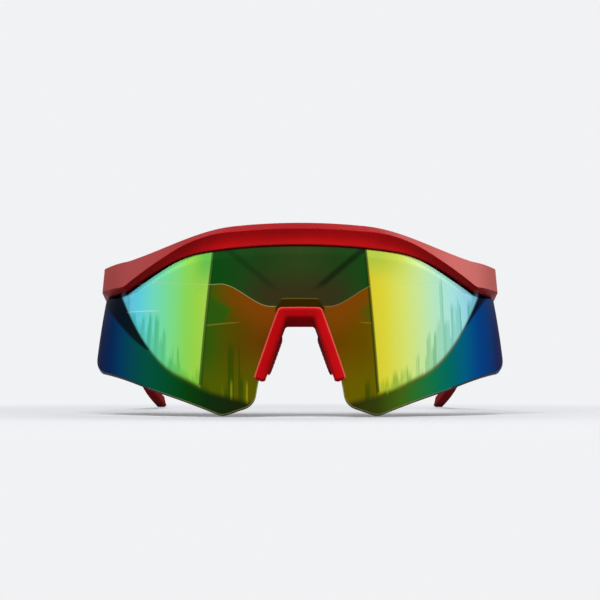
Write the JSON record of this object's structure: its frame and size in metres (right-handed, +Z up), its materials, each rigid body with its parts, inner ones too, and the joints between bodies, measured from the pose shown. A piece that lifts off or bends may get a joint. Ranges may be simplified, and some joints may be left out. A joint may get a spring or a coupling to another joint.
{
  "type": "wraparound sport sunglasses",
  "caption": "Shield-lens sport sunglasses: full-width brow frame, clip-on nose bridge and two slim arms that fold on screwed leaf hinges.",
  "frame": {"origin": "centre of the bounding box of the open sunglasses, on the surface they stand on", "axes": "+Z up from the surface that the lens lobes and arm tips stand on; +X across the front, to the right of someone facing it; +Y from the lens back along the open arms to their tips"},
  "size_m": [0.1428, 0.1883, 0.0639],
  "materials": {
    "frame_red": "satin-gloss translucent-looking deep red moulded nylon",
    "arm_red": "satin-gloss deep red moulded nylon",
    "bridge_red": "satin-gloss deep red moulded nylon",
    "lens_mirror": "polycarbonate with a blue-green-gold iridescent mirror coating",
    "grip_rubber": "matt red elastomer",
    "pad_rubber": "matt red elastomer",
    "steel": "satin stainless steel",
    "nylon": "natural nylon"
  },
  "bodies": {
    "front": {"front_frame": "frame_red", "shield_lens": "lens_mirror", "nose_bridge": "bridge_red", "nose_pad_left": "pad_rubber", "frame_hinge_left": "steel", "frame_hinge_screws_left": "steel", "hinge_screw_left": "steel", "nose_pad_right": "pad_rubber", "frame_hinge_right": "steel", "frame_hinge_screws_right": "steel", "hinge_screw_right": "steel"},
    "left_arm": {"arm_left": "arm_red", "ear_sock_left": "grip_rubber", "arm_hinge_left": "steel", "arm_hinge_screws_left": "steel", "hinge_bush_left": "nylon"},
    "right_arm": {"arm_right": "arm_red", "ear_sock_right": "grip_rubber", "arm_hinge_right": "steel", "arm_hinge_screws_right": "steel", "hinge_bush_right": "nylon"}
  },
  "joints": [
    {"name": "left_arm_hinge", "type": "hinge", "parent": "front", "child": "left_arm", "pos_m": [-0.0626, -0.03631, 0.04355], "axis": [0, 0.244, 0.9698], "range_deg": [-91.4, 0]},
    {"name": "right_arm_hinge", "type": "hinge", "parent": "front", "child": "right_arm", "pos_m": [0.0626, -0.03631, 0.04355], "axis": [0, 0.244, 0.9698], "range_deg": [0, 87.8]}
  ]
}
